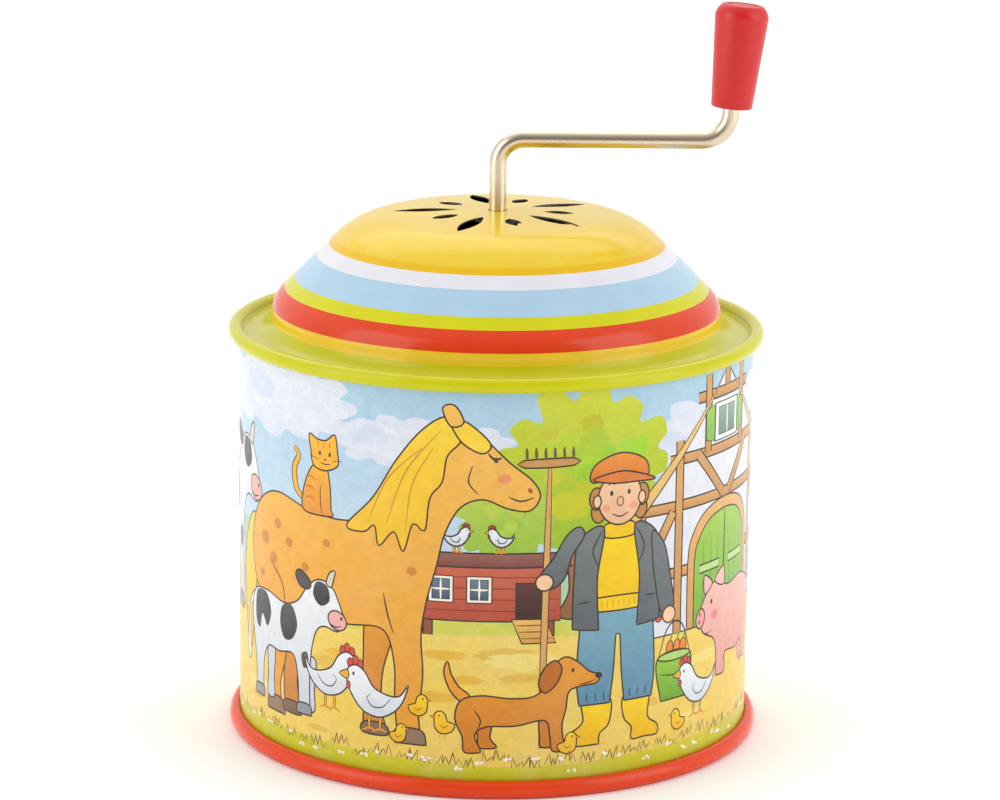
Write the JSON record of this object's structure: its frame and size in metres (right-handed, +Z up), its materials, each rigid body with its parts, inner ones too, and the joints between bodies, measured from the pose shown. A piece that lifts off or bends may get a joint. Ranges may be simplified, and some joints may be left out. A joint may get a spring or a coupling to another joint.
{
  "type": "crank music box",
  "caption": "Round printed tin music box with a banded domed lid, petal sound slots and a bent wire hand crank with a red knob that turns a pinned cylinder inside.",
  "frame": {"origin": "middle of the foot, on the surface the tin stands on", "axes": "+Z up along the tin's axis and the crank's shaft; the crank arm points to +X, turned 1 degree towards +Y, at rest; -Y is the front of the printed scene"},
  "size_m": [0.105, 0.105, 0.144],
  "materials": {
    "printed_tin": "gloss lacquer over a printed farm scene",
    "lid_lacquer": "gloss lacquer in coloured bands",
    "base_lacquer": "gloss",
    "nickel": "bright nickel plate",
    "red_plastic": "satin moulded",
    "steel": "zinc plated",
    "brass": "machined",
    "zinc": "die cast",
    "nylon": "natural"
  },
  "bodies": {
    "tin": {"body_wall": "printed_tin", "base_panel": "base_lacquer", "lid": "lid_lacquer", "shaft_bushing": "nylon", "mounting_deck": "steel", "bedplate": "zinc", "lower_bushing": "brass", "bearing_bracket_left": "zinc", "bearing_bracket_right": "zinc", "bracket_screw_left": "steel", "bracket_screw_right": "steel", "comb": "steel", "comb_base": "zinc", "comb_screw_left": "steel", "comb_screw_right": "steel", "deck_screw_front_left": "steel", "deck_screw_front_right": "steel", "deck_screw_rear": "steel"},
    "crank": {"crank_wire": "nickel", "worm": "brass", "thrust_washer_upper": "steel", "thrust_washer_lower": "steel", "shaft_clip": "steel", "knob_push_nut": "steel"},
    "knob": {"crank_knob": "red_plastic", "knob_cap": "red_plastic"},
    "cylinder": {"music_cylinder": "brass", "worm_wheel": "brass", "cylinder_cap_left": "nylon", "cylinder_cap_right": "nylon", "cylinder_arbor": "steel"}
  },
  "joints": [
    {"name": "crank_turn", "type": "hinge", "parent": "tin", "child": "crank", "pos_m": [0, 0, 0.1031], "axis": [0, 0, 1], "continuous": true},
    {"name": "knob_spin", "type": "hinge", "parent": "crank", "child": "knob", "pos_m": [0.04514, 0.00079, 0.1237], "axis": [0.0889, 0.0016, 0.996], "continuous": true},
    {"name": "cylinder_turn", "type": "hinge", "parent": "tin", "child": "cylinder", "pos_m": [0, 0.00921, 0.0938], "axis": [1, 0, 0], "continuous": true}
  ],
  "couplings": [
    {"joint": "cylinder_turn", "follows": "crank_turn", "ratio": 0.0625}
  ]
}
